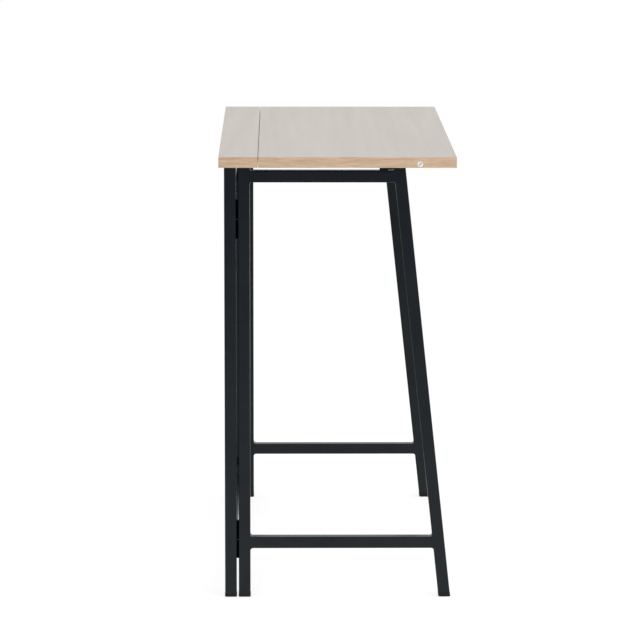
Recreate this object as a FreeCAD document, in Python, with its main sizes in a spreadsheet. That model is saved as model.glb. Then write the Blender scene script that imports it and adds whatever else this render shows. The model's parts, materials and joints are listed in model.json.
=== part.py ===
"""Folding desk: a drop-leaf top on a rear frame of square tube, with two swinging gates.

Millimetres. +Z is up, +X points to the front of the desk (the free edge of the leaf) and Y runs along
its length. The origin is on the floor, under the middle of the top. "near" is the end at -Y and "far"
the end at +Y. The desk is drawn open: both gates stand square to the rear frame, under the leaf.
"""
import FreeCAD, Part
import Sketcher
import os

doc = FreeCAD.newDocument("FoldingDesk")
sheet = doc.addObject("Spreadsheet::Sheet", "size")

# Driving dimensions: name, value, meaning
SIZES = (
    ("top_length", 800.0, "length of the whole top"),
    ("top_depth", 400.0, "depth of the whole top, strip and leaf together"),
    ("desk_height", 760.0, "floor to the upper face of the top"),
    ("board_thickness", 18.0, "thickness of the strip and the leaf"),
    ("strip_depth", 65.9, "depth of the fixed strip, with its edge bands"),
    ("seam_gap", 0.8, "gap between the strip and the leaf"),
    ("band_thickness", 1.0, "thickness of the edge bands"),
    ("band_round", 0.5, "rounding of the bands' outer edges"),
    ("tube_size", 20.0, "outside width of the square tube"),
    ("tube_wall", 1.2, "wall of the square tube"),
    ("tube_corner", 2.5, "outside corner radius of the square tube"),
    ("end_overhang", 7.3, "top's end to the outer face of the legs"),
    ("leg_setback", 9.2, "top's rear edge to the rear face of the rear legs"),
    ("gate_gap", 3.6, "gap between a rear leg and its gate's upright"),
    ("front_foot_reach", 395.6, "rear edge of the top to the slanted leg's outer edge at the floor"),
    ("front_top_reach", 314.4, "rear edge of the top to the slanted leg's outer edge under the leaf"),
    ("rail_drop", 5.8, "underside of the leaf to the gate's top rail"),
    ("leaf_clearance", 0.4, "play between the gates and what they slide under"),
    ("stretcher_height", 85.4, "floor to the underside of the stretchers"),
    ("foot_lip", 6.0, "height of a foot cap below its tube"),
    ("foot_proud", 0.3, "how far a foot cap stands out from its tube"),
    ("foot_round", 1.4, "rounding of a foot cap's bottom edge"),
    ("top_cap_lip", 2.5, "height of a top plug above its tube"),
    ("plug_depth", 14.0, "depth of the caps inside their tubes"),
    ("plug_play", 0.1, "play between a cap and the inside of its tube"),
    ("rear_rail_size", 15.0, "outside width of the rear lower rail's square tube"),
    ("rear_rail_height", 30.0, "floor to the underside of the rear lower rail"),
    ("low_hinge_gap", 18.4, "rear lower rail to the lower gate hinges above it"),
    ("high_hinge_drop", 91.0, "underside of the top to the middle of the upper gate hinges"),
    ("knuckle_radius", 4.0, "outside radius of a gate hinge knuckle"),
    ("knuckle_length", 32.6, "length of one gate hinge knuckle"),
    ("knuckle_round", 0.8, "rounding of a knuckle's free end"),
    ("knuckle_play", 0.3, "gap between a knuckle and the inner faces of the tubes"),
    ("flag_length", 15.0, "width of the weld flag on a knuckle"),
    ("flag_height", 15.0, "height of the weld flag on a knuckle"),
    ("flag_thickness", 2.5, "thickness of the weld flag"),
    ("flag_inset", 1.5, "weld flag to the free end of its knuckle"),
    ("flag_lap", 1.5, "how far beside the pin axis the flag ends inside its knuckle"),
    ("gate_pin_radius", 2.2, "radius of a gate hinge pin"),
    ("gate_pin_grip", 25.0, "length of a gate hinge pin inside each knuckle"),
    ("pin_clearance", 0.05, "running clearance around the pins"),
    ("washer_thickness", 1.0, "thickness of the washer between two knuckles"),
    ("leaf_hinge_spacing", 200.0, "distance from one leaf hinge to the next"),
    ("plate_length", 60.0, "length of a leaf hinge"),
    ("plate_reach", 25.0, "hinge axis to the outer edge of a hinge plate"),
    ("plate_thickness", 1.2, "thickness of a hinge plate"),
    ("barrel_radius", 2.1, "outside radius of a leaf hinge barrel"),
    ("barrel_play", 0.05, "gap between a leaf hinge barrel and the underside of the top"),
    ("barrel_gap", 0.3, "gap between neighbouring knuckles, and between a knuckle and a plate"),
    ("leaf_pin_radius", 1.2, "radius of a leaf hinge pin"),
    ("screw_pitch", 40.0, "distance between the two screws of a hinge plate"),
    ("screw_reach", 14.0, "leaf hinge axis to its screws"),
    ("screw_radius", 1.6, "radius of the wood screws"),
    ("screw_head_radius", 3.0, "radius of a countersunk head"),
    ("screw_bite", 11.0, "how far a wood screw goes into the board"),
    ("screw_play", 0.1, "clearance around the screws"),
    ("rail_screw_spacing", 200.0, "distance between the screws in the rear top rail"),
    ("rail_head_radius", 4.0, "radius of the pan heads under the rear top rail"),
    ("rail_head_height", 2.4, "height of the pan heads under the rear top rail"),
    ("stop_leg_gap", 9.3, "gap between a gate stop and the slanted leg, under the leaf"),
    ("stop_width", 14.0, "width of a gate stop along the rail"),
    ("stop_depth", 17.0, "how far a gate stop reaches in over the rail"),
    ("stop_lip", 2.6, "thickness of the lip outside the rail"),
    ("stop_lip_drop", 2.2, "how far the lip reaches down past the rail's top"),
    ("stop_head_depth", 1.6, "depth of the countersink in a gate stop"),
    ("dowel_place", 338.6, "rear edge of the top to the slotted plug in the leaf's end"),
    ("dowel_height", 6.2, "underside of the leaf to the middle of the slotted plug"),
    ("dowel_radius", 5.2, "radius of the slotted plug"),
    ("dowel_depth", 12.0, "length of the slotted plug"),
    ("dowel_play", 0.1, "clearance around the slotted plug"),
    ("dowel_round", 0.4, "rounding of the slotted plug's rim"),
    ("slot_width", 1.3, "width of the plug's slot"),
    ("slot_length", 7.0, "length of the plug's slot"),
    ("slot_depth", 1.5, "depth of the plug's slot"),
    ("slot_angle", 48.0, "tilt of the plug's slot from level, degrees"),
)
for row, (alias, value, meaning) in enumerate(SIZES, start=1):
    sheet.set(f"A{row}", meaning)
    sheet.set(f"B{row}", str(value))
    sheet.setAlias(f"B{row}", alias)
doc.recompute()

# Places worked out from the driving dimensions, as expressions that the document evaluates
UNDERSIDE = "(size.desk_height - size.board_thickness)"
REAR_EDGE = "(-size.top_depth / 2)"
LEG_X = f"({REAR_EDGE} + size.leg_setback + size.tube_size / 2)"
LEG_FRONT = f"({LEG_X} + size.tube_size / 2)"
UPRIGHT_X = f"({LEG_FRONT} + size.gate_gap + size.tube_size / 2)"
UPRIGHT_FRONT = f"({UPRIGHT_X} + size.tube_size / 2)"
FRAME_Y = "(size.top_length / 2 - size.end_overhang - size.tube_size / 2)"
INNER_Y = f"({FRAME_Y} - size.tube_size / 2)"
OUTER_Y = f"({FRAME_Y} + size.tube_size / 2)"
PIN_X = f"({LEG_FRONT} + size.gate_gap / 2)"
PIN_Y = f"({INNER_Y} - size.knuckle_play - size.knuckle_radius)"
LEAN = f"((size.front_foot_reach - size.front_top_reach) / {UNDERSIDE})"
STRETCH = f"sqrt(1 + {LEAN}^2)"
SLANT_WIDTH = f"(size.tube_size * {STRETCH})"
GATE_TOP = f"({UNDERSIDE} - size.leaf_clearance)"
GATE_TUBE_TOP = f"({GATE_TOP} - size.top_cap_lip)"
RAIL_TOP = f"({UNDERSIDE} - size.rail_drop)"
TUBE_BORE = "(size.tube_size - 2 * size.tube_wall)"
SLANT_BORE = f"({SLANT_WIDTH} - 2 * size.tube_wall * {STRETCH})"
STRIP_FRONT = f"({REAR_EDGE} + size.strip_depth)"
LEAF_BACK = f"({STRIP_FRONT} + size.seam_gap)"
LEAF_DEPTH = "(size.top_depth - size.strip_depth - size.seam_gap)"
SEAM_X = f"({STRIP_FRONT} + size.seam_gap / 2)"
SEAM_Z = f"({UNDERSIDE} - size.barrel_play - size.barrel_radius)"
BOARD_LENGTH = "(size.top_length - 2 * size.band_thickness)"
LOW_HINGE_END = "(size.rear_rail_height + size.rear_rail_size + size.low_hinge_gap)"
LOW_HINGE = f"({LOW_HINGE_END} + size.knuckle_length + size.washer_thickness / 2)"
HIGH_HINGE = f"({UNDERSIDE} - size.high_hinge_drop)"

ENDS = (("near", -1), ("far", 1))
HINGE_LEVELS = (("lower", LOW_HINGE), ("upper", HIGH_HINGE))
LEAF_HINGES = (("near", -1), ("middle", 0), ("far", 1))
KNUCKLES_PER_LEAF_HINGE = 5
RAIL_SCREW_STEPS = (-1.5, -0.5, 0.5, 1.5)
ALONG_Y = FreeCAD.Rotation(FreeCAD.Vector(1, 0, 0), -90)

nodes = []


def number(expression):
    """Value of an expression on the sheet."""
    return float(sheet.evalExpression(expression))


def node(item, label):
    """Names a finished sub-part and puts it on the list of pieces to write."""
    item.Label = label
    nodes.append(item)
    return item


def place(item, x, y, z):
    """Binds an object's place to three expressions."""
    for axis, expression in zip("xyz", (x, y, z)):
        item.setExpression(f"Placement.Base.{axis}", str(expression))
    return item


def slanted_edge(height):
    """X of the slanted leg's outer edge at a height."""
    return f"({REAR_EDGE} + size.front_foot_reach - {LEAN} * ({height}))"


# Sketch helpers

def sketch_on(body, role, name):
    """New sketch on one of the body's own origin planes."""
    sketch = body.newObject("Sketcher::SketchObject", name)
    plane = next(item for item in body.Origin.OriginFeatures if item.Role == role)
    sketch.AttachmentSupport = [(plane, "")]
    sketch.MapMode = "FlatFace"
    return sketch


def bind(sketch, kind, geometry, point, expression):
    """Ties a sketch point's distance from the sketch origin to an expression."""
    constraint = Sketcher.Constraint(kind, -1, 1, geometry, point, number(expression))
    sketch.setExpression(f"Constraints[{sketch.addConstraint(constraint)}]", expression)


def polygon(sketch, corners):
    """Closed outline through corners given as pairs of expressions."""
    points = [FreeCAD.Vector(number(x), number(y), 0) for x, y in corners]
    first = sketch.GeometryCount
    count = len(points)
    for index in range(count):
        sketch.addGeometry(Part.LineSegment(points[index], points[(index + 1) % count]), False)
    for index, (x, y) in enumerate(corners):
        following = first + (index + 1) % count
        sketch.addConstraint(Sketcher.Constraint("Coincident", first + index, 2, following, 1))
        bind(sketch, "DistanceX", first + index, 1, x)
        bind(sketch, "DistanceY", first + index, 1, y)


def rounded_rectangle(sketch, width, height, radius):
    """Rectangle with round corners, centred on the sketch origin."""
    half_width = number(width) / 2
    half_height = number(height) / 2
    bend = number(radius)
    inner_width = half_width - bend
    inner_height = half_height - bend
    first = sketch.GeometryCount
    sides = (
        ((-inner_width, -half_height), (inner_width, -half_height)),
        ((half_width, -inner_height), (half_width, inner_height)),
        ((inner_width, half_height), (-inner_width, half_height)),
        ((-half_width, inner_height), (-half_width, -inner_height)),
    )
    for start, end in sides:
        sketch.addGeometry(Part.LineSegment(FreeCAD.Vector(*start, 0), FreeCAD.Vector(*end, 0)), False)
    right_angle = FreeCAD.Units.Quantity("90 deg").getValueAs("rad").Value
    centres = ((1, -1, 3), (1, 1, 0), (-1, 1, 1), (-1, -1, 2))
    for across, up, quarter in centres:
        centre = FreeCAD.Vector(across * inner_width, up * inner_height, 0)
        circle = Part.Circle(centre, FreeCAD.Vector(0, 0, 1), bend)
        arc = Part.ArcOfCircle(circle, quarter * right_angle, (quarter + 1) * right_angle)
        sketch.addGeometry(arc, False)
    for side in range(4):
        arc = first + 4 + side
        sketch.addConstraint(Sketcher.Constraint("Tangent", first + side, 2, arc, 1))
        sketch.addConstraint(Sketcher.Constraint("Tangent", arc, 2, first + (side + 1) % 4, 1))
        sketch.addConstraint(Sketcher.Constraint("Horizontal" if side % 2 == 0 else "Vertical", first + side))
    for side in range(3):
        sketch.addConstraint(Sketcher.Constraint("Equal", first + 4, first + 5 + side))
    bend_constraint = sketch.addConstraint(Sketcher.Constraint("Radius", first + 4, bend))
    sketch.setExpression(f"Constraints[{bend_constraint}]", radius)
    bind(sketch, "DistanceY", first, 1, f"-({height}) / 2")
    bind(sketch, "DistanceX", first + 1, 1, f"({width}) / 2")
    bind(sketch, "DistanceY", first + 2, 1, f"({height}) / 2")
    bind(sketch, "DistanceX", first + 3, 1, f"-({width}) / 2")


def circles(sketch, radius, centres):
    """Equal circles at centres given as pairs of expressions."""
    for x, y in centres:
        middle = FreeCAD.Vector(number(x), number(y), 0)
        circle = sketch.addGeometry(Part.Circle(middle, FreeCAD.Vector(0, 0, 1), number(radius)), False)
        constraint = sketch.addConstraint(Sketcher.Constraint("Radius", circle, number(radius)))
        sketch.setExpression(f"Constraints[{constraint}]", radius)
        bind(sketch, "DistanceX", circle, 3, x)
        bind(sketch, "DistanceY", circle, 3, y)


# Body helpers

def pad(body, sketch, length, lean=None):
    """Pads a sketch; with a lean, the pad slants towards -X and keeps its ends level."""
    feature = body.newObject("PartDesign::Pad", "Pad")
    feature.Profile = sketch
    feature.setExpression("Length", length)
    if lean:
        feature.UseCustomVector = True
        feature.AlongSketchNormal = True
        feature.Direction = FreeCAD.Vector(-number(lean), 0, 1)
        feature.setExpression("Direction.x", f"-({lean})")
    return feature


def pocket(body, sketch, length, reverse=False, both_ways=False):
    """Cuts a sketch into the body and makes sure that it removes material."""
    doc.recompute()
    before = body.Shape.Volume
    feature = body.newObject("PartDesign::Pocket", "Pocket")
    feature.Profile = sketch
    feature.setExpression("Length", length)
    feature.Reversed = reverse
    feature.Midplane = both_ways
    doc.recompute()
    if body.Shape.Volume >= before:
        raise RuntimeError(f"the pocket in {body.Label} cuts nothing")
    return feature


def tube(label, plane, length, width="size.tube_size", height="size.tube_size", bore=None, lean=None):
    """Square tube with round corners, padded from one of the body's origin planes."""
    body = node(doc.addObject("PartDesign::Body", label), label)
    section = sketch_on(body, plane, "Section")
    rounded_rectangle(section, width, height, "size.tube_corner")
    inner_width = bore or f"({width} - 2 * size.tube_wall)"
    inner_height = f"({height} - 2 * size.tube_wall)"
    rounded_rectangle(section, inner_width, inner_height, "size.tube_corner - size.tube_wall")
    pad(body, section, length, lean)
    return body


def cap(label, stages, lean=None):
    """Moulded cap: rounded blocks stacked upwards, each (width in X, width in Y, height, corner)."""
    body = node(doc.addObject("PartDesign::Body", label), label)
    level = "0"
    for width, depth, height, corner in stages:
        sketch = sketch_on(body, "XY_Plane", "Stage")
        sketch.setExpression("AttachmentOffset.Base.z", level)
        if lean:
            sketch.setExpression("AttachmentOffset.Base.x", f"-({lean}) * ({level})")
        rounded_rectangle(sketch, width, depth, corner)
        pad(body, sketch, height, lean)
        level = f"({level} + {height})"
    return body


def round_foot(body):
    """Rounds the edges of a foot cap that meet the floor."""
    doc.recompute()
    tip = body.Tip
    floor_edges = [
        f"Edge{index}" for index, edge in enumerate(tip.Shape.Edges, start=1)
        if max(vertex.Z for vertex in edge.Vertexes) < number("size.foot_lip") / 2
    ]
    rounding = body.newObject("PartDesign::Fillet", "FootRound")
    rounding.Base = (tip, floor_edges)
    rounding.setExpression("Radius", "size.foot_round")


def board(label, depth, holes, hole_radius, hole_depth):
    """Board core with its underside on local Z = 0 and its rear edge on local X = 0."""
    body = node(doc.addObject("PartDesign::Body", label), label)
    outline = sketch_on(body, "XY_Plane", "Outline")
    half = f"({BOARD_LENGTH} / 2)"
    polygon(outline, (("0", f"-{half}"), (depth, f"-{half}"), (depth, half), ("0", half)))
    pad(body, outline, "size.board_thickness")
    drilling = sketch_on(body, "XY_Plane", "ScrewHoles")
    circles(drilling, hole_radius, holes)
    pocket(body, drilling, hole_depth, reverse=True)
    return body


# Helpers for pieces made of primitives

def box(x, y, z, length, width, height):
    """Box with its low corner at x, y, z."""
    item = doc.addObject("Part::Box", "Box")
    for name, expression in (("Length", length), ("Width", width), ("Height", height)):
        item.setExpression(name, expression)
    return place(item, x, y, z)


def rod(x, y, z, radius, length, rotation=None):
    """Cylinder that starts at x, y, z and runs up, or along the rotated Z."""
    item = doc.addObject("Part::Cylinder", "Rod")
    item.setExpression("Radius", radius)
    item.setExpression("Height", length)
    if rotation:
        item.Placement = FreeCAD.Placement(FreeCAD.Vector(), rotation)
    return place(item, x, y, z)


def cone(x, y, z, low_radius, high_radius, height):
    """Upright cone that starts at x, y, z."""
    item = doc.addObject("Part::Cone", "Cone")
    for name, expression in (("Radius1", low_radius), ("Radius2", high_radius), ("Height", height)):
        item.setExpression(name, expression)
    return place(item, x, y, z)


def fuse(items):
    """One solid from several."""
    item = doc.addObject("Part::MultiFuse", "Fusion")
    item.Shapes = items
    item.Refine = True
    return item


def cut(base, tools):
    """A base with every tool taken away from it."""
    item = doc.addObject("Part::Cut", "Cut")
    item.Base = base
    item.Tool = tools[0] if len(tools) == 1 else fuse(tools)
    return item


def group(label, items):
    """Separate solids that share one node."""
    item = doc.addObject("Part::Compound", label)
    item.Links = items
    return node(item, label)


def rounded(base, radius, wanted):
    """Rounds the edges of a shape that the test picks."""
    doc.recompute()
    size = number(radius)
    item = doc.addObject("Part::Fillet", "Rounded")
    item.Base = base
    item.Edges = [
        (index, size, size) for index, edge in enumerate(base.Shape.Edges, start=1) if wanted(edge)
    ]
    return item


def countersunk_screw(x, y, head_z, head_depth, length):
    """Wood screw that points up, with its flat head at head_z."""
    head = cone(x, y, head_z, "size.screw_head_radius", "size.screw_radius", head_depth)
    shank = rod(x, y, f"{head_z} + {head_depth}", "size.screw_radius", length)
    return fuse([head, shank])


def countersink(x, y, head_z, head_depth):
    """Space that a countersunk screw's head needs."""
    low = "size.screw_head_radius + size.screw_play"
    return cone(x, y, head_z, low, "size.screw_radius + size.screw_play", head_depth)


# The rear frame: two legs, a top rail under the strip and a lower rail

for end, side in ENDS:
    leg_y = f"{side} * {FRAME_Y}"
    leg = tube(f"{end}_rear_leg", "XY_Plane", f"{UNDERSIDE} - size.foot_lip")
    place(leg, LEG_X, leg_y, "size.foot_lip")

RAIL_SCREWS = [f"{step} * size.rail_screw_spacing" for step in RAIL_SCREW_STEPS]
RAIL_BOTTOM = f"({UNDERSIDE} - size.tube_size)"
top_rail = tube("rear_top_rail", "XZ_Plane", f"2 * {INNER_Y}")
drilling = sketch_on(top_rail, "XY_Plane", "ScrewHoles")
circles(drilling, "size.screw_radius + size.screw_play", [("0", f"{y} - {INNER_Y}") for y in RAIL_SCREWS])
pocket(top_rail, drilling, "2 * size.tube_size", both_ways=True)
place(top_rail, LEG_X, INNER_Y, f"{UNDERSIDE} - size.tube_size / 2")

low_rail = tube("rear_lower_rail", "XZ_Plane", f"2 * {INNER_Y}", "size.rear_rail_size", "size.rear_rail_size")
place(low_rail, LEG_X, INNER_Y, "size.rear_rail_height + size.rear_rail_size / 2")


# The gates: upright, slanted leg, top rail and stretcher at each end

def gate_bar(label, side, underside):
    """Level tube from the upright to the slanted leg, its front end cut to the slant."""
    spare = "size.tube_size"
    middle = f"({underside} + size.tube_size / 2)"
    inner_edge = f"({slanted_edge(middle)} - {SLANT_WIDTH})"
    reach = f"({inner_edge} - {UPRIGHT_FRONT})"
    bar = tube(label, "YZ_Plane", f"{reach} + {spare}")
    trim = sketch_on(bar, "XZ_Plane", "SlantTrim")
    low = (f"{reach} + {LEAN} * {spare}", f"-{spare}")
    high = (f"{reach} - {LEAN} * {spare}", spare)
    beyond = f"{reach} + 2 * {spare}"
    polygon(trim, (low, (beyond, f"-{spare}"), (beyond, spare), high))
    pocket(bar, trim, "2 * size.tube_size", both_ways=True)
    place(bar, UPRIGHT_FRONT, f"{side} * {FRAME_Y}", middle)


for end, side in ENDS:
    gate_y = f"{side} * {FRAME_Y}"
    tube_height = f"({GATE_TUBE_TOP} - size.foot_lip)"
    upright = tube(f"{end}_gate_upright", "XY_Plane", tube_height)
    place(upright, UPRIGHT_X, gate_y, "size.foot_lip")
    slanted = tube(f"{end}_gate_slanted_leg", "XY_Plane", tube_height, SLANT_WIDTH, bore=SLANT_BORE, lean=LEAN)
    place(slanted, f"{slanted_edge('size.foot_lip')} - {SLANT_WIDTH} / 2", gate_y, "size.foot_lip")
    gate_bar(f"{end}_gate_top_rail", side, f"({RAIL_TOP} - size.tube_size)")
    gate_bar(f"{end}_gate_stretcher", side, "size.stretcher_height")


# Foot caps under every leg, and plugs in the tops of the gate tubes

FOOT_GROWTH = "2 * size.foot_proud"
PLUG_WIDTH = f"({TUBE_BORE} - 2 * size.plug_play)"
SLANT_PLUG = f"({SLANT_BORE} - 2 * size.plug_play)"
FOOT_CORNER = "size.tube_corner + size.foot_proud"
PLUG_CORNER = "size.tube_corner - size.tube_wall"

for end, side in ENDS:
    cap_y = f"{side} * {FRAME_Y}"
    slant_middle = f"({slanted_edge('0')} - {SLANT_WIDTH} / 2)"
    upright_lip = ("size.tube_size", "size.tube_size", "size.top_cap_lip", "size.tube_corner")
    upright_plug = (PLUG_WIDTH, PLUG_WIDTH, "size.plug_depth", PLUG_CORNER)
    slant_lip = (SLANT_WIDTH, "size.tube_size", "size.top_cap_lip", "size.tube_corner")
    slant_plug = (SLANT_PLUG, PLUG_WIDTH, "size.plug_depth", PLUG_CORNER)
    square = f"(size.tube_size + {FOOT_GROWTH})"
    upright_sole = (square, square, "size.foot_lip", FOOT_CORNER)
    slant_sole = (f"({SLANT_WIDTH} + {FOOT_GROWTH})", square, "size.foot_lip", FOOT_CORNER)
    feet = (
        ("rear_foot", LEG_X, upright_sole, upright_plug, None),
        ("upright_foot", UPRIGHT_X, upright_sole, upright_plug, None),
        ("slanted_leg_foot", slant_middle, slant_sole, slant_plug, LEAN),
    )
    for name, x, sole, plug, lean in feet:
        foot = cap(f"{end}_{name}", (sole, plug), lean)
        round_foot(foot)
        place(foot, x, cap_y, "0")
    plug_bottom = f"({GATE_TUBE_TOP} - size.plug_depth)"
    upright_top = cap(f"{end}_upright_top_plug", (upright_plug, upright_lip))
    place(upright_top, UPRIGHT_X, cap_y, plug_bottom)
    slanted_top = cap(f"{end}_slanted_leg_top_plug", (slant_plug, slant_lip), LEAN)
    place(slanted_top, f"{slanted_edge(plug_bottom)} - {SLANT_WIDTH} / 2", cap_y, plug_bottom)


# The gate hinges: a leg knuckle with a fixed pin below, a washer, and a gate knuckle above

def gate_knuckle(label, side, low, free_end, flag_x, flag_z):
    """Hinge knuckle with a blind bore for the pin and a flag welded to its tube's inner face."""
    pin_y = f"{side} * {PIN_Y}"
    flag_y = f"-{INNER_Y}" if side < 0 else f"{INNER_Y} - size.flag_thickness"
    barrel = rod(PIN_X, pin_y, low, "size.knuckle_radius", "size.knuckle_length")
    end_z = number(free_end)
    domed = rounded(barrel, "size.knuckle_round", lambda edge: all(
        abs(vertex.Z - end_z) < number("size.knuckle_round") for vertex in edge.Vertexes))
    flag = box(flag_x, flag_y, flag_z, "size.flag_length", "size.flag_thickness", "size.flag_height")
    bore_low = f"{low} + size.knuckle_length - size.gate_pin_grip" if free_end == low else low
    bore = rod(PIN_X, pin_y, bore_low, "size.gate_pin_radius + size.pin_clearance", "size.gate_pin_grip")
    node(cut(fuse([domed, flag]), [bore]), label)


washers = []
for end, side in ENDS:
    pins = []
    for level, height in HINGE_LEVELS:
        leg_low = f"({height} - size.washer_thickness / 2 - size.knuckle_length)"
        gate_low = f"({height} + size.washer_thickness / 2)"
        gate_high = f"({gate_low} + size.knuckle_length)"
        leg_flag_x = f"{PIN_X} - size.flag_lap - size.flag_length"
        gate_knuckle(f"{end}_{level}_leg_knuckle", side, leg_low, leg_low, leg_flag_x,
                     f"{leg_low} + size.flag_inset")
        gate_knuckle(f"{end}_{level}_gate_knuckle", side, gate_low, gate_high, f"{PIN_X} + size.flag_lap",
                     f"{gate_high} - size.flag_inset - size.flag_height")
        pin_low = f"({height} - size.washer_thickness / 2 - size.gate_pin_grip)"
        pin_length = "2 * size.gate_pin_grip + size.washer_thickness"
        pins.append(rod(PIN_X, f"{side} * {PIN_Y}", pin_low, "size.gate_pin_radius", pin_length))
        washer_low = f"{height} - size.washer_thickness / 2"
        ring = rod(PIN_X, f"{side} * {PIN_Y}", washer_low, "size.knuckle_radius", "size.washer_thickness")
        hole = rod(PIN_X, f"{side} * {PIN_Y}", washer_low, "size.gate_pin_radius + size.pin_clearance",
                   "size.washer_thickness")
        washers.append(cut(ring, [hole]))
    group(f"{end}_gate_hinge_pins", pins)
group("gate_hinge_washers", washers)


# The fixed strip and the leaf

HINGE_SCREWS = [
    f"({place_on} * size.leaf_hinge_spacing + {row} * size.screw_pitch / 2)"
    for _, place_on in LEAF_HINGES for row in (-1, 1)
]
PILOT = "size.screw_radius + size.screw_play"
STRIP_CORE_X = f"({REAR_EDGE} + size.band_thickness)"
LEAF_CORE_X = f"({LEAF_BACK} + size.band_thickness)"
STOP_FRONT = f"({slanted_edge(UNDERSIDE)} - {SLANT_WIDTH} - size.stop_leg_gap)"
STOP_X = f"({STOP_FRONT} - size.stop_width / 2)"
DOWEL_X = f"({REAR_EDGE} + size.dowel_place)"
DOWEL_Z = f"({UNDERSIDE} + size.dowel_height)"

strip_holes = [(f"{SEAM_X} - size.screw_reach - {STRIP_CORE_X}", y) for y in HINGE_SCREWS]
strip_holes += [(f"{LEG_X} - {STRIP_CORE_X}", y) for y in RAIL_SCREWS]
strip = board("fixed_strip", "size.strip_depth - 2 * size.band_thickness", strip_holes, PILOT,
              "size.screw_bite + size.screw_play")
place(strip, STRIP_CORE_X, "0", UNDERSIDE)

leaf_holes = [(f"{SEAM_X} + size.screw_reach - {LEAF_CORE_X}", y) for y in HINGE_SCREWS]
leaf_holes += [(f"{STOP_X} - {LEAF_CORE_X}", f"{side} * {FRAME_Y}") for _, side in ENDS]
leaf = board("leaf_board", f"{LEAF_DEPTH} - 2 * size.band_thickness", leaf_holes, PILOT,
             "size.screw_bite + size.screw_play")
for end, side in ENDS:
    bore = sketch_on(leaf, "XZ_Plane", f"{end}DowelHole")
    bore.setExpression("AttachmentOffset.Base.z", f"{-side} * {BOARD_LENGTH} / 2")
    circles(bore, "size.dowel_radius + size.dowel_play",
            [(f"{DOWEL_X} - {LEAF_CORE_X}", "size.dowel_height")])
    pocket(leaf, bore, "size.dowel_depth - size.band_thickness", reverse=side > 0)
place(leaf, LEAF_CORE_X, "0", UNDERSIDE)


def long_band(label, x, outer_x):
    """Edge band along the length of the top; its outer face is rounded when outer_x is given."""
    strip_of_band = box(x, "-size.top_length / 2", UNDERSIDE, "size.band_thickness", "size.top_length",
                        "size.board_thickness")
    if outer_x:
        outer = number(outer_x)
        strip_of_band = rounded(strip_of_band, "size.band_round", lambda edge: all(
            abs(vertex.X - outer) < number("size.band_thickness") / 2 for vertex in edge.Vertexes))
    node(strip_of_band, label)


def end_band(label, side, x, length, dowel_hole):
    """Edge band across one end of a board, rounded along its outer edges."""
    low_y = "-size.top_length / 2" if side < 0 else "size.top_length / 2 - size.band_thickness"
    band = box(x, low_y, UNDERSIDE, length, "size.band_thickness", "size.board_thickness")
    outer = side * number("size.top_length / 2")
    middle_z = number(f"{UNDERSIDE} + size.board_thickness / 2")

    def outer_edge(edge):
        on_face = all(abs(vertex.Y - outer) < number("size.band_thickness") / 2 for vertex in edge.Vertexes)
        return on_face and abs(edge.CenterOfMass.z - middle_z) > number("size.board_thickness") / 4

    band = rounded(band, "size.band_round", outer_edge)
    if dowel_hole:
        hole = rod(DOWEL_X, low_y, DOWEL_Z, "size.dowel_radius + size.dowel_play", "size.band_thickness",
                   ALONG_Y)
        band = cut(band, [hole])
    node(band, label)


FRONT_BAND_X = f"(-{REAR_EDGE} - size.band_thickness)"
long_band("strip_rear_band", REAR_EDGE, REAR_EDGE)
long_band("strip_seam_band", f"{STRIP_FRONT} - size.band_thickness", None)
long_band("leaf_seam_band", LEAF_BACK, None)
long_band("leaf_front_band", FRONT_BAND_X, f"-{REAR_EDGE}")
for end, side in ENDS:
    end_band(f"strip_{end}_band", side, STRIP_CORE_X, "size.strip_depth - 2 * size.band_thickness", False)
    end_band(f"leaf_{end}_band", side, LEAF_CORE_X, f"{LEAF_DEPTH} - 2 * size.band_thickness", True)


# The leaf hinges under the seam: a fixed plate, a moving plate and a pin each

KNUCKLE_STEP = f"(size.plate_length / {KNUCKLES_PER_LEAF_HINGE})"
PLATE_LOW = f"({UNDERSIDE} - size.plate_thickness)"
PLATE_START = "(size.barrel_radius + size.barrel_gap)"


def hinge_plate(label, hinge_y, direction, slots):
    """Hinge plate on one side of the seam, with its knuckles at the given slots along the barrel."""
    start_y = f"({hinge_y} - size.plate_length / 2)"
    plate_x = f"{SEAM_X} + {PLATE_START}" if direction > 0 else f"{SEAM_X} - size.plate_reach"
    solids = [box(plate_x, start_y, PLATE_LOW, f"size.plate_reach - {PLATE_START}", "size.plate_length",
                  "size.plate_thickness")]
    neck_x = SEAM_X if direction > 0 else f"{SEAM_X} - {PLATE_START}"
    knuckle_length = f"{KNUCKLE_STEP} - size.barrel_gap"
    for slot in slots:
        slot_y = f"{start_y} + {slot} * {KNUCKLE_STEP} + size.barrel_gap / 2"
        solids.append(rod(SEAM_X, slot_y, SEAM_Z, "size.barrel_radius", knuckle_length, ALONG_Y))
        solids.append(box(neck_x, slot_y, PLATE_LOW, PLATE_START, knuckle_length, "size.plate_thickness"))
    bore = rod(SEAM_X, start_y, SEAM_Z, "size.leaf_pin_radius + size.pin_clearance", "size.plate_length",
               ALONG_Y)
    screw_x = f"{SEAM_X} + {direction} * size.screw_reach"
    sinks = [
        countersink(screw_x, f"{hinge_y} + {row} * size.screw_pitch / 2", PLATE_LOW, "size.plate_thickness")
        for row in (-1, 1)
    ]
    node(cut(fuse(solids), [bore] + sinks), label)


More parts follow.
